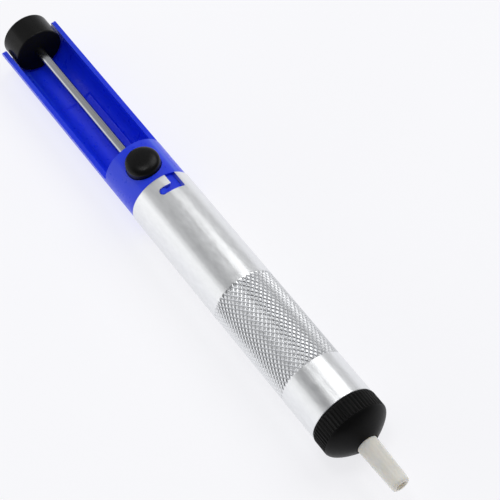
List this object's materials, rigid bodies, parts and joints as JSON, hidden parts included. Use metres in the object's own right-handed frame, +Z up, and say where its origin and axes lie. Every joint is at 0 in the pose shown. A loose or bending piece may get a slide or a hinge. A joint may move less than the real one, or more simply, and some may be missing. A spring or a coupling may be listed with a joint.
{
  "type": "desoldering pump",
  "caption": "Spring-piston desoldering pump: knurled aluminium barrel, bayonet rear housing with finger guard, plunger knob on a rod, side release button and soft nozzle.",
  "frame": {"origin": "under the middle of the pump's length, at the height of the surface that it lies on", "axes": "+X along the barrel towards the nozzle, +Z up through the release button, +Y to the side where the bayonet slot opens"},
  "size_m": [0.1906, 0.0203, 0.0225],
  "materials": {
    "aluminium_barrel": "fine turned, knurled band",
    "blue_plastic": "glossy moulded",
    "black_gloss": "glossy moulded",
    "black_satin": "satin moulded, ribbed ring",
    "milky_ptfe": "milky, slightly translucent",
    "natural_plastic": "natural moulded",
    "polished_steel": "polished",
    "steel": "bright zinc",
    "spring_steel": "drawn wire",
    "brass": "turned",
    "black_rubber": "matt"
  },
  "bodies": {
    "barrel": {"barrel": "aluminium_barrel", "main_spring": "spring_steel"},
    "housing": {"rear_housing": "blue_plastic", "bumper_ring": "black_rubber", "button_spring": "spring_steel"},
    "button": {"release_button": "black_gloss", "latch_plate": "steel"},
    "plunger": {"plunger_rod": "polished_steel", "plunger_knob": "black_gloss", "rod_clip": "spring_steel", "piston_washer": "steel", "piston": "natural_plastic", "piston_o_ring": "black_rubber", "piston_nut": "brass", "cleaning_pin": "steel"},
    "nose": {"nozzle_holder": "black_satin", "nozzle_holder_o_ring": "black_rubber", "nozzle_tip": "milky_ptfe", "spring_seat_washer": "steel"}
  },
  "joints": [
    {"name": "bayonet_turn", "type": "hinge", "parent": "barrel", "child": "housing", "pos_m": [0, 0, 0.01015], "axis": [-1, 0, 0], "range_deg": [0, 29]},
    {"name": "plunger_slide", "type": "slide", "parent": "housing", "child": "plunger", "axis": [1, 0, 0], "range_m": [0, 0.047], "stiffness_N_per_m": 400, "springref_m": -0.012, "deforming": ["main_spring"]},
    {"name": "button_press", "type": "slide", "parent": "housing", "child": "button", "axis": [0, 0, -1], "range_m": [0, 0.0015], "stiffness_N_per_m": 400, "springref_m": -0.0008, "deforming": ["button_spring"]},
    {"name": "nose_pull", "type": "slide", "parent": "barrel", "child": "nose", "axis": [1, 0, 0], "range_m": [0, 0.0092]}
  ]
}
